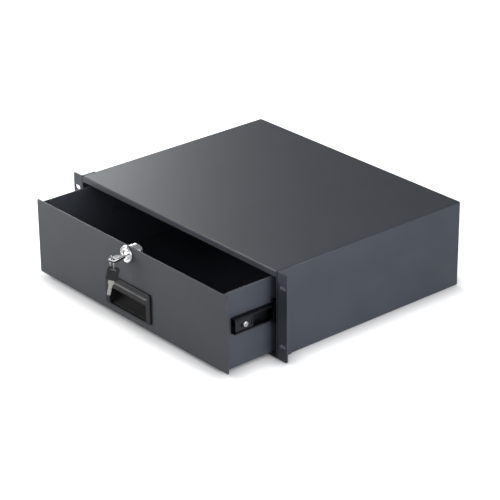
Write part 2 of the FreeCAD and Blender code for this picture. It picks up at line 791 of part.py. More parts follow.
def drawer_rivets():
    """Blind rivets: a low head outside, a short tail inside."""
    rivets = []
    for point in rivet_points():
        side = 1 if point.x > 0 else -1
        grip = 2 * sheet + face_gap
        shank = rod(box_rivet_radius, point, X_AXIS * -side, grip + 1.5)
        head = rod(box_rivet_head, point, X_AXIS * side, box_rivet_head_height)
        tail = rod(box_rivet_head - 0.8, point - X_AXIS * (side * grip), X_AXIS * -side, 1.5)
        rivets.append(fuse([shank, head, tail]))
    return group(rivets)


def front_nuts():
    """Hexagon nuts on the front panel's weld studs."""
    nuts = []
    for point in stud_points():
        start = point + Y_AXIS * (sheet + 2 * face_gap)
        nut = hexagon(start, stud_nut_radius, stud_nut_height)
        nuts.append(nut.cut(rod(stud_radius + face_gap, point, Y_AXIS, stud_length)))
    return group(nuts)


def hexagon(start, radius, length):
    """A six-sided bar along +Y, given by its corner radius."""
    corners = [start + V(radius * math.cos(math.radians(a)), 0, radius * math.sin(math.radians(a)))
               for a in range(0, 360, 60)]
    return prism(corners, Y_AXIS * length)


# ---------------------------------------------------------------- handle

def pocket_arc():
    """Centre and radius of the finger pocket's curved back, in Y and Z.

    The arc starts on the handle's face at the pocket's lower edge and ends upright at its
    full depth.
    """
    face = front_face - handle_proud
    deep = front_face + pocket_depth
    centre_z = pocket_top - pocket_arc_drop
    rise = centre_z - pocket_bottom
    run = deep - face
    radius = (rise ** 2 + run ** 2) / (2.0 * run)
    return deep - radius, centre_z, radius


def shell_low():
    """Height at which the pocket shell passes the front panel's outer face."""
    centre_y, centre_z, radius = pocket_arc()
    reach = radius + pocket_wall
    return centre_z - math.sqrt(reach ** 2 - (front_face - centre_y) ** 2)


def pocket_form(extra, front_y, half_width):
    """The pocket's hollow, or its shell when it is larger all round by the wall."""
    centre_y, centre_z, radius = pocket_arc()
    reach = radius + extra
    drop = math.sqrt(reach ** 2 - (front_y - centre_y) ** 2)
    start = V(-half_width, front_y, centre_z - drop)
    deep = V(-half_width, centre_y + reach, centre_z)
    turn = math.atan2(-drop, front_y - centre_y) / 2.0
    middle = V(-half_width, centre_y + reach * math.cos(turn), centre_z + reach * math.sin(turn))
    top = V(-half_width, deep.y, pocket_roof + extra)
    top_front = V(-half_width, front_y, pocket_roof + extra)
    curve = Part.Arc(start, middle, deep).toShape()
    lines = [Part.makeLine(a, b) for a, b in ((deep, top), (top, top_front), (top_front, start))]
    wire = Part.Wire([curve] + lines)
    return Part.Face(wire).extrude(X_AXIS * (2 * half_width))


def drawer_handle():
    """Recessed pull: a proud frame, a curved finger pocket and a shallow thumb scoop."""
    half = handle_width / 2.0
    face = front_face - handle_proud
    frame = box(-half, half, face, front_face - face_gap, handle_bottom,
                handle_bottom + handle_height)
    corners = edges_where(frame, lambda e, c: runs_along(e, Y_AXIS))
    frame = frame.makeFillet(handle_corner_radius, corners)
    outer = [f for f in frame.Faces if abs(f.CenterOfMass.y - face) < 1e-6][0]
    frame = frame.makeFillet(handle_edge_radius, outer.Edges)
    radius = (scoop_band ** 2 / 4.0 + scoop_depth ** 2) / (2.0 * scoop_depth)
    hollow = rod(radius, V(-half, face - radius + scoop_depth, scoop_height), X_AXIS, handle_width)
    outline = stadium(scoop_width, scoop_band, V(0, face - 1, scoop_height), 1 + handle_proud)
    frame = frame.cut(hollow.common(outline))
    half_pocket = pocket_width / 2.0
    shell = pocket_form(pocket_wall, front_face - face_gap, half_pocket + pocket_wall)
    mouth = box(-half_pocket, half_pocket, face - 1, front_face + 1, pocket_bottom, pocket_top)
    mouth_corners = edges_where(mouth, lambda e, c: runs_along(e, Y_AXIS))
    mouth = mouth.makeFillet(pocket_corner_radius, mouth_corners)
    hollow = pocket_form(0.0, front_face + 0.4, half_pocket)
    return fuse([frame, shell]).cut(hollow).cut(mouth)


def handle_clips():
    """Spring clips that grip the pocket's ends and press on the panel's back."""
    clips = []
    end = pocket_width / 2.0 + pocket_wall + face_gap
    near = front_back + face_gap
    middle = (pocket_top + pocket_bottom) / 2.0 + clip_lift
    low = middle - clip_height / 2.0
    for side in (-1, 1):
        leg = box(side * end, side * (end + clip_wall), near, near + clip_length, low, low + clip_height)
        foot = box(side * end, side * (end + clip_foot), near, near + clip_wall, low, low + clip_height)
        clips.append(fuse([leg, foot]))
    return group(clips)


# ---------------------------------------------------------------- lock

def lock_housing():
    """Round rose and threaded barrel with two flats, bored for the plug."""
    face = V(0, front_face - rose_proud, lock_height)
    rose = rod(rose_radius, face, Y_AXIS, rose_proud - face_gap)
    rim = edges_where(rose, lambda e, c: abs(c.y - face.y) < 1e-6 and not runs_along(e, Y_AXIS))
    rose = rose.makeFillet(rose_edge_radius, rim[:1])
    barrel = barrel_blank(V(0, front_face - 0.5, lock_height), 0.0, barrel_length + 0.5)
    body = fuse([rose, barrel])
    bore = rod(plug_radius + plug_gap, face - Y_AXIS, Y_AXIS, barrel_length + rose_proud + 2)
    return body.cut(bore)


def lock_nut():
    """Round sleeve nut that clamps the lock behind the front panel, slotted for a spanner."""
    start = V(0, front_back + face_gap, lock_height)
    end = start.y + nut_length
    nut = rod(nut_radius, start, Y_AXIS, nut_length)
    rim = edges_where(nut, lambda e, c: abs(c.y - end) < 1e-6 and not runs_along(e, Y_AXIS))
    nut = nut.makeFillet(nut_edge_radius, rim[:1])
    nut = nut.cut(rod(barrel_radius + barrel_gap, start - Y_AXIS, Y_AXIS, nut_length + 2))
    half = nut_slot_width / 2.0
    return nut.cut(box(-nut_radius - 1, nut_radius + 1, end - nut_slot_depth, end + 1,
                       lock_height - half, lock_height + half))


def lock_plug():
    """Turning plug with a flat keyway and a square tang for the cam."""
    face = V(0, front_face - rose_proud + plug_recess, lock_height)
    length = barrel_length + rose_proud - plug_recess
    body = rod(plug_radius, face, Y_AXIS, length)
    end = front_face + barrel_length
    half = tang_size / 2.0
    tang = box(-half, half, end - 0.5, end + cam_gap + cam_thickness,
               lock_height - half, lock_height + half)
    thread = rod(cam_screw_radius + face_gap, V(0, end - cam_thread, lock_height), Y_AXIS, 20)
    half_way = blade_width / 2.0 + keyway_gap
    keyway = box(-half_way, half_way, face.y - 1, face.y + blade_length + 0.2,
                 lock_height - blade_thickness / 2.0 - keyway_gap,
                 lock_height + blade_thickness / 2.0 + keyway_gap)
    return fuse([body, tang]).cut(thread).cut(keyway)


def lock_cam():
    """Flat cam on the plug's tang, hanging down when the drawer is unlocked."""
    y0 = front_face + barrel_length + cam_gap
    half = cam_width / 2.0
    round_end = rod(half, V(0, y0, lock_height), Y_AXIS, cam_thickness)
    arm = box(-half, half, y0, y0 + cam_thickness, lock_height - cam_reach, lock_height)
    tip = edges_where(arm, lambda e, c: runs_along(e, Y_AXIS) and c.z < lock_height - half)
    arm = arm.makeFillet(cam_corner_radius, tip)
    half = tang_size / 2.0 + face_gap
    hole = box(-half, half, y0 - 1, y0 + cam_thickness + 1, lock_height - half, lock_height + half)
    return fuse([round_end, arm]).cut(hole)


def cam_screw():
    """Hexagon screw with its washer, holding the cam on the plug."""
    seat = front_face + barrel_length + cam_gap + cam_thickness + face_gap
    washer = rod(cam_washer_radius, V(0, seat, lock_height), Y_AXIS, cam_washer_thickness)
    head = hexagon(V(0, seat + cam_washer_thickness, lock_height), cam_screw_head_radius,
                   cam_screw_head_height)
    tip = front_face + barrel_length - cam_thread + face_gap
    shank = rod(cam_screw_radius, V(0, tip, lock_height), Y_AXIS, seat - tip + 0.5)
    return fuse([washer, head, shank])


# ---------------------------------------------------------------- keys

def key_bow_form():
    """A key's plastic bow, flat on z = 0, pointing to -Y with its neck at the origin."""
    half = bow_width / 2.0
    bow = box(-half, half, -bow_length, 0, -bow_thickness / 2.0, bow_thickness / 2.0)
    corners = edges_where(bow, lambda e, c: runs_along(e, Z_AXIS))
    bow = bow.makeFillet(bow_corner_radius, corners)
    rims = [e for f in bow.Faces if abs(f.normalAt(0, 0).z) > 0.9 for e in f.Edges]
    bow = bow.makeFillet(bow_edge_radius, rims)
    reach = (bow_slot_width - bow_slot_height) / 2.0
    slot_y = bow_slot_back - bow_length
    radius = bow_slot_height / 2.0
    ends = [rod(radius, V(s * reach, slot_y, -bow_thickness), Z_AXIS, 2 * bow_thickness)
            for s in (-1, 1)]
    bar = box(-reach, reach, slot_y - radius, slot_y + radius, -bow_thickness, bow_thickness)
    return bow.cut(fuse(ends + [bar]))


def key_bow(droop):
    """The bow with its neck pocket cut level, after the bow has sagged on its blade."""
    bow = key_bow_form()
    bow.rotate(V(0, 0, 0), X_AXIS, droop)
    half = shoulder_width / 2.0 + face_gap
    deep = neck_depth + face_gap
    thin = blade_thickness / 2.0 + face_gap
    return bow.cut(box(-half, half, -deep, bow_thickness, -thin, thin))


def key_blade_form():
    """A key's blade, flat on z = 0, pointing to +Y from the bow, cut with five notches."""
    half = blade_thickness / 2.0
    neck = box(-shoulder_width / 2.0, shoulder_width / 2.0, -neck_depth, shoulder_length,
               -half, half)
    blade = box(-blade_width / 2.0, blade_width / 2.0, 0, shoulder_length + blade_length, -half, half)
    key = fuse([neck, blade])
    tip_y = shoulder_length + blade_length
    tip = edges_where(key, lambda e, c: runs_along(e, Z_AXIS) and abs(c.y - tip_y) < 1e-6)
    key = key.makeFillet(blade_tip_radius, tip)
    edge = blade_width / 2.0
    wide = notch_width / 2.0
    for index, depth in enumerate(notch_depths):
        y = shoulder_length + notch_start + notch_pitch * index
        low = -blade_thickness
        notch = prism([V(edge + 0.1, y - wide, low), V(edge + 0.1, y + wide, low),
                       V(edge - depth, y + wide / 4.0, low), V(edge - depth, y - wide / 4.0, low)],
                      Z_AXIS * (2.0 * blade_thickness))
        key = key.cut(notch)
    return key


def as_turned(shape):
    """Turn a piece of the lock's moving half about the lock's axis to where the key stands."""
    turned = shape.copy()
    turned.rotate(V(0, 0, lock_height), Y_AXIS, key_turn_now)
    return turned


def in_lock(shape):
    """Place a key form in the lock."""
    placed = shape.copy()
    placed.translate(V(0, front_face - rose_proud - shoulder_length, lock_height))
    return as_turned(placed)


def ring_direction():
    """Level direction that the key ring's plane runs along."""
    angle = math.radians(ring_turn)
    return V(math.cos(angle), math.sin(angle), 0)


def ring_centre():
    """Centre of the key ring, hanging on one side of the sagging bow's slot."""
    reach = bow_length - bow_slot_back - ring_forward
    droop = math.radians(bow_droop)
    turn = math.radians(key_turn_now)
    neck_y = front_face - rose_proud - shoulder_length
    bow_z = lock_height - reach * math.sin(droop) - ring_side * math.sin(turn)
    return V(ring_side, neck_y - reach * math.cos(droop), bow_z - ring_drop)


def key_ring():
    """A closed ring of round wire."""
    normal = Z_AXIS.cross(ring_direction())
    return Part.makeTorus(ring_radius, ring_wire_radius, ring_centre(), normal)


def hang_spare(shape):
    """Turn a key form to hang from the bottom of the ring."""
    hung = shape.copy()
    slot_top = bow_slot_back - bow_length - bow_slot_height / 2.0
    rest = slot_top + ring_wire_radius + spare_rest_gap
    hung.translate(V(spare_offset, -rest, 0))
    hung.rotate(V(0, 0, 0), X_AXIS, -90)
    hung.rotate(V(0, 0, 0), Y_AXIS, spare_lean)
    hung.rotate(V(0, 0, 0), Z_AXIS, spare_turn)
    hung.translate(ring_centre() - Z_AXIS * ring_radius)
    return hung


# ---------------------------------------------------------------- write every piece

save("case_cover", case_cover())
save("case_bottom", case_bottom())
save("case_back", case_back())
save("back_screws", back_screws())
save("back_nuts", back_nuts())
save("lock_strike", lock_strike())
save("drawer_front", drawer_front())
save("drawer_tray", drawer_tray())
save("drawer_back", drawer_back())
save("drawer_rivets", drawer_rivets())
save("front_nuts", front_nuts())
save("drawer_handle", drawer_handle())
save("handle_clips", handle_clips())
save("lock_housing", lock_housing())
save("lock_nut", lock_nut())
save("lock_plug", as_turned(lock_plug()))
save("lock_cam", as_turned(lock_cam()))
save("cam_screw", as_turned(cam_screw()))
save("key_bow", in_lock(key_bow(bow_droop)))
save("key_blade", in_lock(key_blade_form()))
save("key_ring", key_ring())
save("spare_bow", hang_spare(key_bow(0.0)))
save("spare_blade", hang_spare(key_blade_form()))

outer_cage_y = outer_cage_start - open_now * outer_cage_share
inner_cage_y = inner_cage_start - open_now * inner_cage_share
outer_line = (outer_cage_y, outer_cage_length, outer_ball_offset, outer_ball_rise)
inner_line = (inner_cage_y, inner_cage_length, inner_ball_offset, inner_ball_rise)
slide_pieces = (
    ("outer_rail", outer_rail()),
    ("middle_rail", middle_rail()),
    ("inner_rail", inner_rail()),
    ("rail_front_plate", front_plate()),
    ("rail_screws", slide_screws()),
    ("rail_nuts", slide_nuts()),
    ("rail_spacer", slide_spacer()),
    ("rail_rivets", rail_rivets()),
    ("rear_bumper", rear_bumper()),
    ("outer_ball_cage", ball_cage(*outer_line)),
    ("outer_balls", balls(*outer_line)),
    ("inner_ball_cage", ball_cage(*inner_line)),
    ("inner_balls", balls(*inner_line)),
)
for side_name, side_sign in SIDES:
    save("rack_ear_" + side_name, rack_ear(side_sign))
    for piece_name, piece in slide_pieces:
        save(piece_name + "_" + side_name, flip(piece, side_sign))
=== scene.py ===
import json
import math
import bmesh
import bpy
import numpy as np
from mathutils import Matrix, Vector


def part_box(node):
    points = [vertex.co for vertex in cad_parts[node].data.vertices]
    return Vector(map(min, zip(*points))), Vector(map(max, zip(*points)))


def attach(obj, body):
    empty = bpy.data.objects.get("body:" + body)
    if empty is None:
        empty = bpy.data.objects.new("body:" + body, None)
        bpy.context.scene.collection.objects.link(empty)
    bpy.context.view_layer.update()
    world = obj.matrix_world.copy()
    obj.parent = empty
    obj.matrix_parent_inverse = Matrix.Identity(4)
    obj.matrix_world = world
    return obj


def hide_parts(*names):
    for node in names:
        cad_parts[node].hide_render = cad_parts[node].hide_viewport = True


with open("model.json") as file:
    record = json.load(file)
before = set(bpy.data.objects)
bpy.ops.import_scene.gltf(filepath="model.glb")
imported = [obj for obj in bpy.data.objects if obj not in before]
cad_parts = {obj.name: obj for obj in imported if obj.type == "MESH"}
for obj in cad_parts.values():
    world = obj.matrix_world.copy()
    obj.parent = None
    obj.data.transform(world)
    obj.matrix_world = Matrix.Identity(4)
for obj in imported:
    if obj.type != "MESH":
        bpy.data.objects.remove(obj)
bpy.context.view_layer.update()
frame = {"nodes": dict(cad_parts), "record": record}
nodes = frame["nodes"]
MM = 0.001
EDGE_ROUND = 0.3 * MM              # rounded edges of the folded sheet
PULL_POCKET_FACE = -83.5 * MM      # where the pull's pocket turns dead matt and gets painted shade


# ---------------------------------------------------------------- shader arithmetic

class Field:
    """A shader value that can be added, multiplied and mixed like a number."""

    def __init__(self, tree, socket):
        self.tree = tree
        self.socket = socket

    def make(self, kind, inputs, output=0, **settings):
        """Adds one node, sets or links its inputs by name or index, and returns an output."""
        node = self.tree.nodes.new(kind)
        for key, value in settings.items():
            setattr(node, key, value)
        for key, value in inputs.items():
            if isinstance(value, Field):
                self.tree.links.new(value.socket, node.inputs[key])
            else:
                node.inputs[key].default_value = value
        return Field(self.tree, node.outputs[output])

    def _math(self, operation, other, third=None):
        inputs = {0: self, 1: other}
        if third is not None:
            inputs[2] = third
        return self.make("ShaderNodeMath", inputs, operation=operation)

    def __add__(self, other):
        return self._math("ADD", other)

    def __sub__(self, other):
        return self._math("SUBTRACT", other)

    def __mul__(self, other):
        return self._math("MULTIPLY", other)

    def __rsub__(self, other):
        return self * -1.0 + other

    __radd__ = __add__
    __rmul__ = __mul__

    def power(self, other):
        return self._math("POWER", other)

    def above(self, low, high):
        """0 below low, 1 above high, smooth between."""
        return self.make("ShaderNodeMapRange", {0: self, 1: low, 2: high, 3: 0.0, 4: 1.0},
                         interpolation_type="SMOOTHSTEP")

    def between(self, low, high):
        """Maps 0..1 onto low..high."""
        return self * (high - low) + low

    def part(self, name):
        """One of the X, Y and Z parts of a vector."""
        return self.make("ShaderNodeSeparateXYZ", {0: self}, output="XYZ".index(name))

    def colours(self, first, second):
        """A colour that runs from the first to the second as this goes from 0 to 1."""
        return self.make("ShaderNodeMix", {0: self, 6: first + (1.0,), 7: second + (1.0,)},
                         output=2, data_type="RGBA")


def material(name, build, **constants):
    """A Principled material. build gets the place field and returns linked inputs by name."""
    mat = bpy.data.materials.new(name)
    mat.use_nodes = True
    tree = mat.node_tree
    shader = tree.nodes["Principled BSDF"]
    for key, value in constants.items():
        shader.inputs[key.replace("_", " ")].default_value = value
    coords = tree.nodes.new("ShaderNodeTexCoord")
    place = Field(tree, coords.outputs["Object"])
    for key, value in build(place).items():
        tree.links.new(value.socket, shader.inputs[key])
    return mat


def noise(place, size, stretch=(1, 1, 1), detail=2.0, rough=0.5):
    """Cloudy noise whose blobs are about size metres across, longer where stretch is small."""
    scaled = place.make("ShaderNodeMapping", {"Vector": place, "Scale": stretch})
    return place.make("ShaderNodeTexNoise", {"Vector": scaled, "Scale": 1.0 / size,
                                             "Detail": detail, "Roughness": rough})


def cells(place, size, output="Distance"):
    """Rounded grains about size metres apart."""
    return place.make("ShaderNodeTexVoronoi", {"Vector": place, "Scale": 1.0 / size}, output=output)


def bump(height, depth, strength=1.0):
    """A surface normal from a height field, depth in metres."""
    return height.make("ShaderNodeBump", {"Height": height, "Distance": depth, "Strength": strength})


def powder_coat(name, dark, light, gloss):
    """Fine textured powder coat: rounded grains, a faint cloudiness and matt sheen."""
    def build(place):
        grain = cells(place, 0.0011)
        fine = noise(place, 0.00045, detail=3.0)
        cloud = noise(place, 0.045, detail=3.0)
        tone = (cloud * 0.6 + fine * 0.4).above(0.3, 0.72)
        height = grain * 0.6 + fine * 0.5
        return {"Base Color": tone.colours(dark, light),
                "Roughness": (fine * 0.5 + cloud * 0.5).between(gloss, gloss + 0.14),
                "Normal": bump(height, 0.00007, 0.55)}
    return material(name, build, Metallic=0.0, IOR=1.5)


def plated(name, colour, rough, run=(1, 1, 1), tint=(0.93, 0.95, 1.0)):
    """Plated steel: rolling lines along one axis, soft mottling and small stains."""
    def build(place):
        lines = noise(place, 0.0006, stretch=run, detail=2.0)
        mottle = noise(place, 0.006, detail=4.0, rough=0.6)
        stain = mottle.above(0.42, 0.66)
        shade = tuple(c * t for c, t in zip(colour, tint))
        return {"Base Color": stain.colours(shade, colour),
                "Roughness": (lines * 0.6 + mottle * 0.4).between(rough * 0.65, rough * 1.45),
                "Normal": bump(lines * 0.7 + mottle * 0.3, 0.00002, 0.5)}
    return material(name, build, Metallic=1.0)


def polished(name, colour, rough):
    """Bright nickel or chrome with a faint haze and hairline scratches."""
    def build(place):
        haze = noise(place, 0.003, detail=4.0)
        hair = noise(place, 0.00035, stretch=(1.0, 0.06, 1.0), detail=1.0)
        return {"Base Color": haze.above(0.35, 0.7).colours(tuple(c * 0.93 for c in colour), colour),
                "Roughness": (haze * 0.6 + hair * 0.4).between(rough * 0.5, rough * 1.8),
                "Normal": bump(haze * 0.5 + hair * 0.5, 0.000012, 0.35)}
    return material(name, build, Metallic=1.0)


def moulded(name, colour, rough, grain_size, depth, shine=0.5, matt_and_shade_from=1.0):
    """Moulded plastic with a spark-eroded grain and slightly uneven gloss.

    Behind a given depth along Y the surface is dead matt, and its colour is held at the darkest tone:
    painted shade in the pull's pocket.
    """
    def build(place):
        grain = noise(place, grain_size, detail=3.0, rough=0.6)
        flow = noise(place, 0.02, stretch=(1.0, 1.0, 0.5), detail=2.0)
        # The pull's pocket: dead matt there, and its colour darkened as painted shade.
        pocket_matt_and_shade = place.part("Y").above(matt_and_shade_from, matt_and_shade_from + 0.002)
        gloss = (grain * 0.5 + flow * 0.5).between(rough * 0.8, rough * 1.25)
        # Painted shade: the pocket keeps only the darkest tone, with no lighter flow.
        tone = flow.above(0.3, 0.7) * (1.0 - pocket_matt_and_shade)
        return {"Base Color": tone.colours(colour, tuple(c * 1.35 for c in colour)),
                "Roughness": gloss * (1.0 - pocket_matt_and_shade) + pocket_matt_and_shade * 0.95,
                "Normal": bump(grain, depth, 0.6)}
    return material(name, build, Metallic=0.0, IOR=1.49, Specular_IOR_Level=shine)


MATERIALS = {
    "case_paint": powder_coat("case_paint", (0.035, 0.041, 0.053), (0.045, 0.052, 0.066), 0.46),
    "front_paint": powder_coat("front_paint", (0.036, 0.040, 0.048), (0.046, 0.050, 0.059), 0.46),
    "slide_steel": plated("slide_steel", (0.034, 0.035, 0.040), 0.3, run=(1, 0.05, 1)),
    "plate_steel": plated("plate_steel", (0.045, 0.046, 0.050), 0.34, run=(1, 0.05, 1)),
    "cage_steel": plated("cage_steel", (0.5, 0.5, 0.49), 0.3, run=(1, 0.05, 1)),
    "ball_steel": polished("ball_steel", (0.75, 0.75, 0.76), 0.12),
    "zinc_steel": plated("zinc_steel", (0.6, 0.6, 0.58), 0.3),
    "spring_steel": plated("spring_steel", (0.4, 0.41, 0.43), 0.35),
    "black_screw": plated("black_screw", (0.06, 0.06, 0.065), 0.35),
    "handle_plastic": moulded("handle_plastic", (0.007, 0.007, 0.008), 0.40, 0.0006, 0.00005,
                              shine=0.35, matt_and_shade_from=PULL_POCKET_FACE),
    "bow_plastic": moulded("bow_plastic", (0.007, 0.007, 0.009), 0.22, 0.0009, 0.00001),
    "chrome": polished("chrome", (0.82, 0.82, 0.83), 0.09),
    "key_nickel": polished("key_nickel", (0.50, 0.49, 0.46), 0.26),
}


def dress_cad(name, slot):
    """Gives a CAD node its material."""
    obj = nodes[name]
    for index in range(len(obj.material_slots)):
        obj.material_slots[index].material = MATERIALS[slot]


def soften(name, width):
    """Rounds the sharp edges of a sheet-metal node, after closing its loose triangles."""
    weld = nodes[name].modifiers.new("join", "WELD")
    weld.merge_threshold = 0.00001
    edge = nodes[name].modifiers.new("edge", "BEVEL")
    edge.width, edge.segments, edge.limit_method = width, 2, "ANGLE"
    edge.angle_limit = math.radians(40)
    edge.harden_normals = True


for entry in frame["record"]["subparts"]:
    dress_cad(entry["node"], entry["material_slot"])
for side in ("left", "right"):
    dress_cad("rail_screws_" + side, "zinc_steel")
    soften("rack_ear_" + side, EDGE_ROUND)
for name in ("case_cover", "case_bottom", "case_back", "drawer_front", "drawer_tray"):
    soften(name, EDGE_ROUND)


# ---------------------------------------------------------------- new pieces

LOCK_HEIGHT = 41.7 * MM             # lock axis in the frame's height
ROSE_FACE = -87.2 * MM              # front of the lock's rose
NECK = ROSE_FACE - 6.0 * MM         # where the bow meets its blade, in the lock
BOW_DROOP, KEY_TURN = 8.5, -7.5     # degrees
BOW_HALF_THICK = 1.3 * MM
PAD_HALF_WIDTH, PAD_HALF_LENGTH = 6.2 * MM, 4.3 * MM
PAD_MIDDLE = -7.6 * MM              # along the bow from its neck
RING_TURN = -20.5                   # degrees
WIRE_RADIUS = 0.8 * MM
TURN_OFFSET = 0.37 * MM             # each of the ring's two turns, from its middle plane
TURN_HALF_WIDTH = 0.33 * MM
TURN_HALF_HEIGHT = WIRE_RADIUS - 0.15 * MM
STEP_LENGTH = 0.7                   # radians over which one turn steps to the next
RING_START = 1.9                    # radians from the ring's level line to the wire's end
SPARE_LEAN, SPARE_TURN = 11.5, 45.0 # degrees
SPARE_OFFSET = 1.9 * MM
SPARE_REST = -17.3 * MM             # where the ring's wire bears, along the hanging bow


def grid_piece(name, points, body, slot, around=True, closed=False):
    """A mesh from a grid of points (rows, columns, 3).

    Rows run along the shape and columns round it. With closed the last row joins the first,
    otherwise both end rows are shut with a fan about their middle.
    """
    rows, columns = points.shape[:2]
    step = np.arange(columns if around else columns - 1)
    lines = np.arange(rows if closed else rows - 1)[:, None]
    after, beside = (lines + 1) % rows, (step + 1) % columns
    quads = np.stack(np.broadcast_arrays(lines * columns + step, lines * columns + beside,
                                         after * columns + beside, after * columns + step), -1)
    faces = quads.reshape(-1, 4).tolist()
    verts = points.reshape(-1, 3)
    if around and not closed:
        verts = np.vstack([verts, points[0].mean(0), points[-1].mean(0)])
        first, last, tail = rows * columns, rows * columns + 1, (rows - 1) * columns
        faces += np.stack([beside, step, np.full(columns, first)], 1).tolist()
        faces += np.stack([tail + step, tail + beside, np.full(columns, last)], 1).tolist()
    mesh = bpy.data.meshes.new(name)
    mesh.from_pydata(verts.tolist(), [], faces)
    mesh.materials.append(MATERIALS[slot])
    mesh.shade_smooth()
    piece = bpy.data.objects.new(name, mesh)
    bpy.context.collection.objects.link(piece)
    mend_normals(piece)
    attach(piece, body)
    return piece


def mend_normals(piece):
    """Turns every face of a closed piece outwards."""
    work = bmesh.new()
    work.from_mesh(piece.data)
    bmesh.ops.recalc_face_normals(work, faces=work.faces)
    work.to_mesh(piece.data)
    work.free()


def turned(name, profile, centre, axis_rows, body, slot, columns=96):
    """Solid of revolution: the profile's (radius, along) points carried round an axis.

    axis_rows are the two radial directions and the axis as unit rows.
    """
    angle = np.linspace(0, 2 * np.pi, columns, endpoint=False)
    radius, along = np.asarray(profile).T
    ring = np.stack([np.cos(angle), np.sin(angle)], 1) @ np.asarray(axis_rows[:2], float)
    points = (np.asarray(centre) + radius[:, None, None] * ring[None]
              + along[:, None, None] * np.asarray(axis_rows[2], float))
    return grid_piece(name, points, body, slot, closed=True)


def smooth_profile(corners, steps=6):
    """Closed profile through the corners: each corner becomes a quadratic arc between mid-sides."""
    corners = np.asarray(corners, float)
    before = (corners + np.roll(corners, 1, 0)) / 2
    after = (corners + np.roll(corners, -1, 0)) / 2
    t = np.linspace(0, 1, steps, endpoint=False)[None, :, None]
    arcs = ((1 - t) ** 2 * before[:, None] + 2 * t * (1 - t) * corners[:, None]
            + t ** 2 * after[:, None])
    return arcs.reshape(-1, 2)


def rose_cap():
    """Dished cover ring on the rose: a raised rim, a hollow and a raised lip round the plug."""
    corners = [(12.2, 0.35), (12.2, -0.5), (11.9, -0.95), (11.1, -1.0), (10.4, -0.45), (9.3, -0.2),
               (8.0, -0.22), (7.1, -0.75), (6.4, -0.85), (6.0, -0.5), (6.0, 0.35)]
    profile = smooth_profile(corners) * MM
    return turned("rose_cap", profile, (0, ROSE_FACE, LOCK_HEIGHT),
                  [(1, 0, 0), (0, 0, 1), (0, 1, 0)], "drawer", "chrome")


def split_ring():
    """Key ring of two turns of wire that steps over once.

    Its section is the rounded square x^4 + y^4 = 1, scaled to the wire's half width and height.
    """
    low, high = (np.asarray(v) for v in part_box("key_ring"))
    centre = (low + high) / 2
    radius = (high[2] - low[2]) / 2 - WIRE_RADIUS
    turn = math.radians(RING_TURN)
    level = np.array([math.cos(turn), math.sin(turn), 0.0])
    normal = np.array([-math.sin(turn), math.cos(turn), 0.0])
    phase = np.linspace(0, 4 * np.pi, 260)
    step = np.clip((phase - 2 * np.pi + STEP_LENGTH / 2) / STEP_LENGTH, 0, 1)
    shift = TURN_OFFSET * (2 * step * step * (3 - 2 * step) - 1)
    place = phase + RING_START
    outward = (np.cos(place)[:, None] * level + np.sin(place)[:, None] * np.array([0, 0, 1.0]))
    around = np.linspace(0, 2 * np.pi, 16, endpoint=False)
    square = 1.0 / (np.abs(np.cos(around)) ** 4 + np.abs(np.sin(around)) ** 4) ** 0.25
    wide = TURN_HALF_WIDTH * square * np.cos(around)
    tall = TURN_HALF_HEIGHT * square * np.sin(around)
    points = (centre + (radius + tall)[None, :, None] * outward[:, None, :]
              + (shift[:, None] + wide[None, :])[:, :, None] * normal)
    ring = grid_piece("split_ring", points, "ring", "key_nickel")
    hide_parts("key_ring")
    return ring


def spun(axis, degrees):
    """Turning matrix about X, Y or Z."""
    return np.asarray(Matrix.Rotation(math.radians(degrees), 3, axis))


def bow_in_lock(points):
    """Places points of the level bow in the lock: sagged, put at the rose and turned."""
    placed = points @ spun("X", BOW_DROOP).T + np.array([0, NECK, 0])
    return placed @ spun("Y", KEY_TURN).T + np.array([0, 0, LOCK_HEIGHT])


def bow_on_ring(points):
    """Places points of the level bow on the ring's lowest point: hung, leaned and turned."""
    low, high = (np.asarray(v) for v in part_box("key_ring"))
    bottom = (low + high) / 2
    bottom[2] = low[2] + WIRE_RADIUS
    hung = (points + np.array([SPARE_OFFSET, -SPARE_REST, 0])) @ spun("X", -90).T
    return hung @ spun("Y", SPARE_LEAN).T @ spun("Z", SPARE_TURN).T + bottom


def bow_pad(name, side, place, body):
    """Raised pad on a bow's face: the superellipse x^6 + y^6 = 1, lower near its rim."""
    around = np.linspace(0, 2 * np.pi, 72, endpoint=False)
    power = 2.0 / 6.0
    rim_x = PAD_HALF_WIDTH * np.sign(np.cos(around)) * np.abs(np.cos(around)) ** power
    rim_y = PAD_HALF_LENGTH * np.sign(np.sin(around)) * np.abs(np.sin(around)) ** power
    share = np.array([1.0, 1.0, 0.985, 0.95, 0.9, 0.8, 0.5, 0.1])
    height = np.array([-0.2, 0.12, 0.3, 0.42, 0.46, 0.40, 0.30, 0.26]) * MM
    points = np.zeros((len(share), len(around), 3))
    points[:, :, 0] = share[:, None] * rim_x
    points[:, :, 1] = share[:, None] * rim_y + PAD_MIDDLE
    points[:, :, 2] = side * (BOW_HALF_THICK + height[:, None])
    return grid_piece(name, place(points), body, "bow_plastic")


rose_cap()
split_ring()
for face, side in (("upper", 1), ("lower", -1)):
    bow_pad("key_pad_" + face, side, bow_in_lock, "key")
    bow_pad("spare_pad_" + face, side, bow_on_ring, "spare_key")


# ---------------------------------------------------------------- stage, lights and camera

def look(obj, aim):
    """Turns a lamp or camera so that it points at aim."""
    direction = Vector(aim) - obj.location
    obj.rotation_euler = direction.to_track_quat("-Z", "Y").to_euler()


def lamp(name, place, aim, size, power, colour=(1, 1, 1)):
    """A rectangular soft box."""
    data = bpy.data.lights.new(name, "AREA")
    data.shape = "RECTANGLE"
    data.size, data.size_y = size
    data.energy = power
    data.color = colour
    obj = bpy.data.objects.new(name, data)
    bpy.context.collection.objects.link(obj)
    obj.location = place
    look(obj, aim)
    return obj


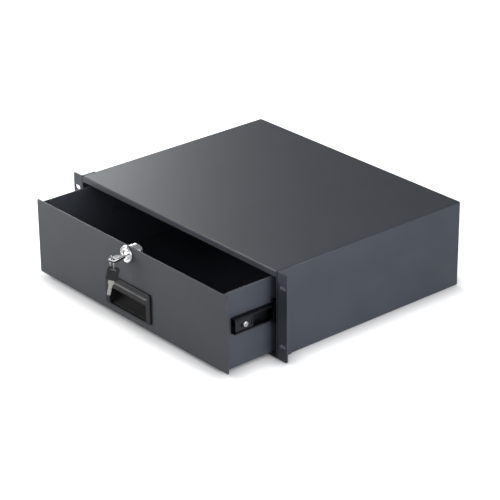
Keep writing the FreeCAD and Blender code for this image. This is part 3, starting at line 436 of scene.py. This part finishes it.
def seen_rays(tree, shine):
    """1 for rays from the camera, shine for rays off a gloss or through glass, and 0 for light."""
    path = tree.nodes.new("ShaderNodeLightPath")
    camera, gloss, glass = [Field(tree, path.outputs[name]) for name in
                            ("Is Camera Ray", "Is Glossy Ray", "Is Transmission Ray")]
    return camera + (gloss + glass) * shine


def paper(name, colour, glow):
    """The studio floor: paper with a faint tooth, lifted to white where it is looked at.

    The lift fades with ambient occlusion near the drawer and case, which paints a soft contact shadow
    there, added to the lamps' own shadow.
    """
    def build(place):
        tooth = noise(place, 0.004, detail=2.0)
        # Ambient occlusion dims the floor's glow near the object: a painted contact shadow.
        painted_shadow_fade = place.make("ShaderNodeAmbientOcclusion", {"Distance": 0.035}, output=1, samples=24)
        lift = seen_rays(place.tree, 0.3) * painted_shadow_fade.power(2.0)
        return {"Roughness": tooth.between(0.8, 0.9),
                "Emission Color": lift.colours((0.0, 0.0, 0.0), (1.0, 1.0, 1.0))}
    return material(name, build, Base_Color=colour + (1.0,), Specular_IOR_Level=0.1,
                    Emission_Strength=glow)


FLOOR_GAP = 1.2 * MM
FLOOR_REACH = 9.0
LAMP_DISTANCE, LAMP_WIDTH = 1.5, 0.8
CAMERA_AZIMUTH, CAMERA_HEIGHT, CAMERA_ROLL = 49.68, 25.01, -0.519   # degrees
CAMERA_DISTANCE = 2.98907
CAMERA_AIM = Vector((0.04416, 0.10298, 0.00462))

base_z = frame["record"]["mounts"][1]["pos_m"][2]
floor_mesh = bpy.data.meshes.new("floor")
corners = [(x * FLOOR_REACH, y * FLOOR_REACH, 0) for x, y in ((-1, -1), (1, -1), (1, 1), (-1, 1))]
floor_mesh.from_pydata(corners, [], [(0, 1, 2, 3)])
floor = bpy.data.objects.new("floor", floor_mesh)
floor.location.z = base_z - FLOOR_GAP
floor_mesh.materials.append(paper("floor_paper", (0.72, 0.72, 0.725), 0.85))
bpy.context.collection.objects.link(floor)

world = bpy.data.worlds.new("studio")
bpy.context.scene.world = world
world.use_nodes = True
background = world.node_tree.nodes["Background"]
sky = seen_rays(world.node_tree, 0.3).colours((0.05, 0.053, 0.058), (1.0, 1.0, 1.0))
world.node_tree.links.new(sky.socket, background.inputs["Color"])
background.inputs["Strength"].default_value = 1.0


def soft_box(name, azimuth, height, power, colour=(1, 1, 1)):
    """A square soft box that stands round the drawer by azimuth and height in degrees."""
    turn, rise = math.radians(azimuth), math.radians(height)
    middle = Vector((0.0, 0.1, 0.0))
    away = Vector((math.sin(turn) * math.cos(rise), -math.cos(turn) * math.cos(rise),
                   math.sin(rise)))
    lamp(name, middle + away * LAMP_DISTANCE, middle, (LAMP_WIDTH, LAMP_WIDTH), power, colour)


soft_box("right_light", 90, 12, 16.2, (0.96, 0.98, 1.0))
soft_box("front_light", 315, 12, 15.6)
soft_box("left_light", 255, 12, 16.5, (0.95, 0.98, 1.0))
soft_box("top_light", 255, 40, 3.0)
soft_box("fill_light", 42, 27, 4.5)

azimuth, elevation = math.radians(CAMERA_AZIMUTH), math.radians(CAMERA_HEIGHT)
roll = math.radians(CAMERA_ROLL)
back = Vector((math.sin(azimuth) * math.cos(elevation), -math.cos(azimuth) * math.cos(elevation),
               math.sin(elevation)))
right = Vector((math.cos(azimuth), math.sin(azimuth), 0.0))
up = back.cross(right)
tilted_right = right * math.cos(roll) + up * math.sin(roll)
tilted_up = up * math.cos(roll) - right * math.sin(roll)
camera = bpy.data.objects.new("camera", bpy.data.cameras.new("camera"))
bpy.context.collection.objects.link(camera)
camera.data.sensor_width = 36.0
camera.data.lens = 148.91
camera.data.clip_end = 50.0
axes = Matrix((tilted_right, tilted_up, back)).transposed().to_4x4()
camera.matrix_world = Matrix.Translation(CAMERA_AIM + back * CAMERA_DISTANCE) @ axes
bpy.context.scene.camera = camera
bpy.context.scene.view_settings.view_transform = "Standard"
